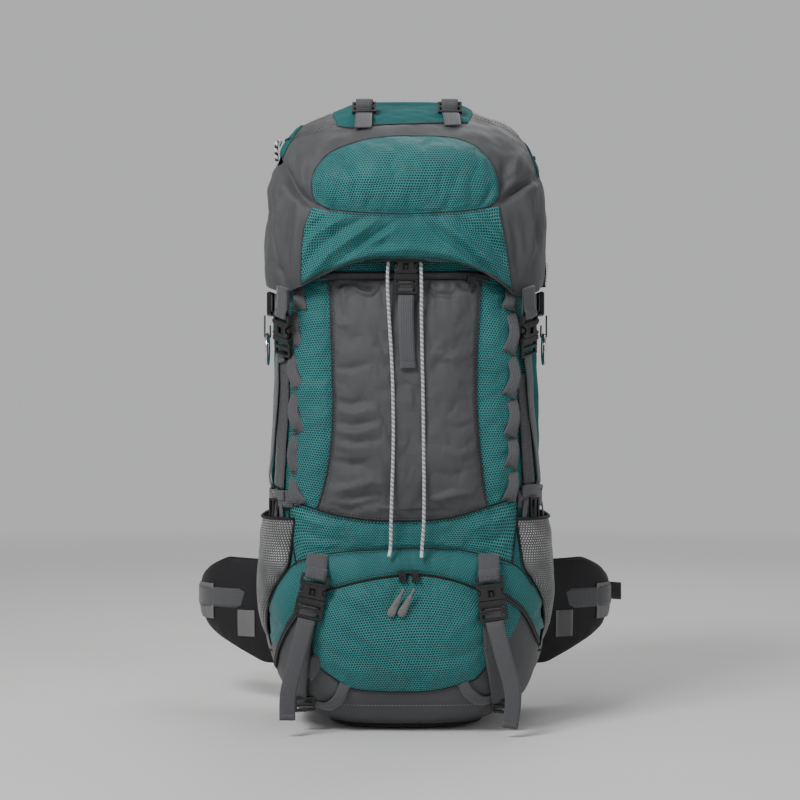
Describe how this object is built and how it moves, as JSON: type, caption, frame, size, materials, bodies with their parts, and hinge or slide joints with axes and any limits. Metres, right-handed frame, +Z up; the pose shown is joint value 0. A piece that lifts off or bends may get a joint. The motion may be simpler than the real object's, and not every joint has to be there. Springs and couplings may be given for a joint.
{
  "type": "hiking backpack",
  "caption": "Tall framed hiking backpack with a floating lid, front and mesh side pockets, lower zip compartment, padded harness and hip belt.",
  "frame": {"origin": "middle of the flat base where the pack stands on the floor", "axes": "+Z up, -Y the front panel, +Y the wearer's side, +X to the right of someone looking at the front"},
  "size_m": [0.5464, 0.4525, 0.75],
  "materials": {
    "black_plastic": "satin",
    "cord": "matte",
    "dark_fabric": "matte",
    "grey_fabric": "matte",
    "grey_rubber": "matte",
    "mesh": "matte",
    "padding": "matte",
    "sheet": "matte",
    "stay": "satin",
    "steel": "polished",
    "teal_fabric": "matte",
    "teal_ripstop": "satin",
    "webbing": "matte",
    "zip": "matte"
  },
  "bodies": {
    "pack": {"main_bag": "grey_fabric", "bottom_compartment": "teal_fabric", "collar": "grey_fabric", "collar_drawcord": "cord", "drawcord_tail_left": "cord", "drawcord_tail_right": "cord", "cord_lock_barrel": "black_plastic", "front_pocket": "grey_fabric", "front_zip": "zip", "lower_front_panel": "teal_fabric", "bottom_panel": "teal_fabric", "bottom_hood": "teal_ripstop", "base_panel": "grey_fabric", "bottom_zip": "zip", "side_pocket_left": "mesh", "side_pocket_right": "mesh", "daisy_chains": "webbing", "lid_anchor_straps": "webbing", "compression_straps": "webbing", "bottom_strap_webbing": "webbing", "fixed_buckles": "black_plastic", "tool_loops": "webbing", "frame_sheet": "sheet", "frame_stays": "stay", "back_pads": "padding", "bottom_tail_left": "webbing", "bottom_tail_right": "webbing", "harness_webbing": "webbing"},
    "lid": {"lid_pocket": "teal_fabric", "lid_skirt": "grey_fabric", "lid_top_straps": "webbing", "lid_buckles": "black_plastic"},
    "lid_slider": {"lid_zip_slider": "steel"},
    "lid_male_left": {"lid_side_male_left": "black_plastic"},
    "lid_male_right": {"lid_side_male_right": "black_plastic"},
    "lid_male_front": {"lid_front_male": "black_plastic", "lid_front_tail": "webbing"},
    "side_male_left": {"compression_male_left": "black_plastic"},
    "side_male_right": {"compression_male_right": "black_plastic"},
    "low_male_left": {"bottom_male_left": "black_plastic"},
    "low_male_right": {"bottom_male_right": "black_plastic"},
    "lock_button": {"cord_lock_button": "black_plastic"},
    "pocket_slider": {"front_zip_slider": "zip"},
    "slider_left": {"bottom_slider_left": "zip"},
    "slider_right": {"bottom_slider_right": "zip"},
    "pull_left": {"bottom_pull_left": "grey_rubber"},
    "pull_right": {"bottom_pull_right": "grey_rubber"},
    "ring_left": {"gear_ring_left": "steel"},
    "ring_right": {"gear_ring_right": "steel"},
    "harness": {"shoulder_straps": "padding", "sternum_strap": "webbing", "sternum_female": "black_plastic"},
    "chest_male": {"sternum_male": "black_plastic"},
    "handle": {"haul_handle": "webbing"},
    "wing_left": {"hip_wing_left": "dark_fabric", "hip_belt_left": "webbing", "hip_female": "black_plastic"},
    "wing_right": {"hip_wing_right": "dark_fabric", "hip_belt_right": "webbing", "hip_male": "black_plastic"}
  },
  "joints": [
    {"name": "lid_lift", "type": "hinge", "parent": "pack", "child": "lid", "pos_m": [0, 0.112, 0.545], "axis": [-1, 0, 0], "range_deg": [0, 85]},
    {"name": "lid_zip_run", "type": "slide", "parent": "lid", "child": "lid_slider", "axis": [0, 1, 0], "range_m": [0, 0.07]},
    {"name": "lid_left_unclip", "type": "slide", "parent": "pack", "child": "lid_male_left", "axis": [0, 0.3407, -0.9402], "range_m": [0, 0.013]},
    {"name": "lid_right_unclip", "type": "slide", "parent": "pack", "child": "lid_male_right", "axis": [0, 0.3407, -0.9402], "range_m": [0, 0.013]},
    {"name": "lid_front_unclip", "type": "slide", "parent": "pack", "child": "lid_male_front", "axis": [0, 0.0205, -0.9998], "range_m": [0, 0.014]},
    {"name": "side_left_unclip", "type": "slide", "parent": "pack", "child": "side_male_left", "axis": [0, -1, 0], "range_m": [0, 0.018]},
    {"name": "side_right_unclip", "type": "slide", "parent": "pack", "child": "side_male_right", "axis": [0, -1, 0], "range_m": [0, 0.018]},
    {"name": "low_left_unclip", "type": "slide", "parent": "pack", "child": "low_male_left", "axis": [-0.2079, 0, -0.9781], "range_m": [0, 0.018], "deforming": ["bottom_tail_left"]},
    {"name": "low_right_unclip", "type": "slide", "parent": "pack", "child": "low_male_right", "axis": [0.1219, 0, -0.9925], "range_m": [0, 0.018], "deforming": ["bottom_tail_right"]},
    {"name": "lock_press", "type": "slide", "parent": "pack", "child": "lock_button", "axis": [-1, 0, 0], "range_m": [0, 0.005], "stiffness_N_per_m": 300},
    {"name": "pocket_zip_run", "type": "hinge", "parent": "pack", "child": "pocket_slider", "pos_m": [0, 0.5426, 0.528], "axis": [0, 0, -1], "range_deg": [0, 13.2]},
    {"name": "low_zip_left_run", "type": "hinge", "parent": "pack", "child": "slider_left", "pos_m": [0, 0, -0.21], "axis": [0, -1, 0], "range_deg": [0, 8.4]},
    {"name": "low_zip_right_run", "type": "hinge", "parent": "pack", "child": "slider_right", "pos_m": [0, 0, -0.21], "axis": [0, 1, 0], "range_deg": [0, 7.6]},
    {"name": "pull_left_flip", "type": "hinge", "parent": "slider_left", "child": "pull_left", "pos_m": [-0.00411, -0.13787, 0.18298], "axis": [-0.8746, 0, 0.4848], "range_deg": [0, 80]},
    {"name": "pull_right_flip", "type": "hinge", "parent": "slider_right", "child": "pull_right", "pos_m": [0.01097, -0.13787, 0.18285], "axis": [-0.8746, 0, 0.4848], "range_deg": [0, 80]},
    {"name": "ring_left_swing", "type": "hinge", "parent": "pack", "child": "ring_left", "pos_m": [-0.166, -0.031, 0.467], "axis": [0, 1, 0], "range_deg": [0, 55]},
    {"name": "ring_right_swing", "type": "hinge", "parent": "pack", "child": "ring_right", "pos_m": [0.166, -0.031, 0.467], "axis": [0, -1, 0], "range_deg": [0, 55]},
    {"name": "harness_swing", "type": "hinge", "parent": "pack", "child": "harness", "pos_m": [0, 0.112, 0.462], "axis": [1, 0, 0], "range_deg": [-4, 12], "deforming": ["harness_webbing"]},
    {"name": "chest_unclip", "type": "slide", "parent": "harness", "child": "chest_male", "axis": [1, 0, 0], "range_m": [0, 0.018]},
    {"name": "handle_lift", "type": "hinge", "parent": "pack", "child": "handle", "pos_m": [0, 0.106, 0.537], "axis": [-1, 0, 0], "range_deg": [-80, 0]},
    {"name": "wing_left_wrap", "type": "hinge", "parent": "pack", "child": "wing_left", "pos_m": [-0.124, 0.122, 0.12], "axis": [0, 0, -1], "range_deg": [0, 40]},
    {"name": "wing_right_wrap", "type": "hinge", "parent": "pack", "child": "wing_right", "pos_m": [0.124, 0.122, 0.12], "axis": [0, 0, 1], "range_deg": [0, 40]}
  ]
}
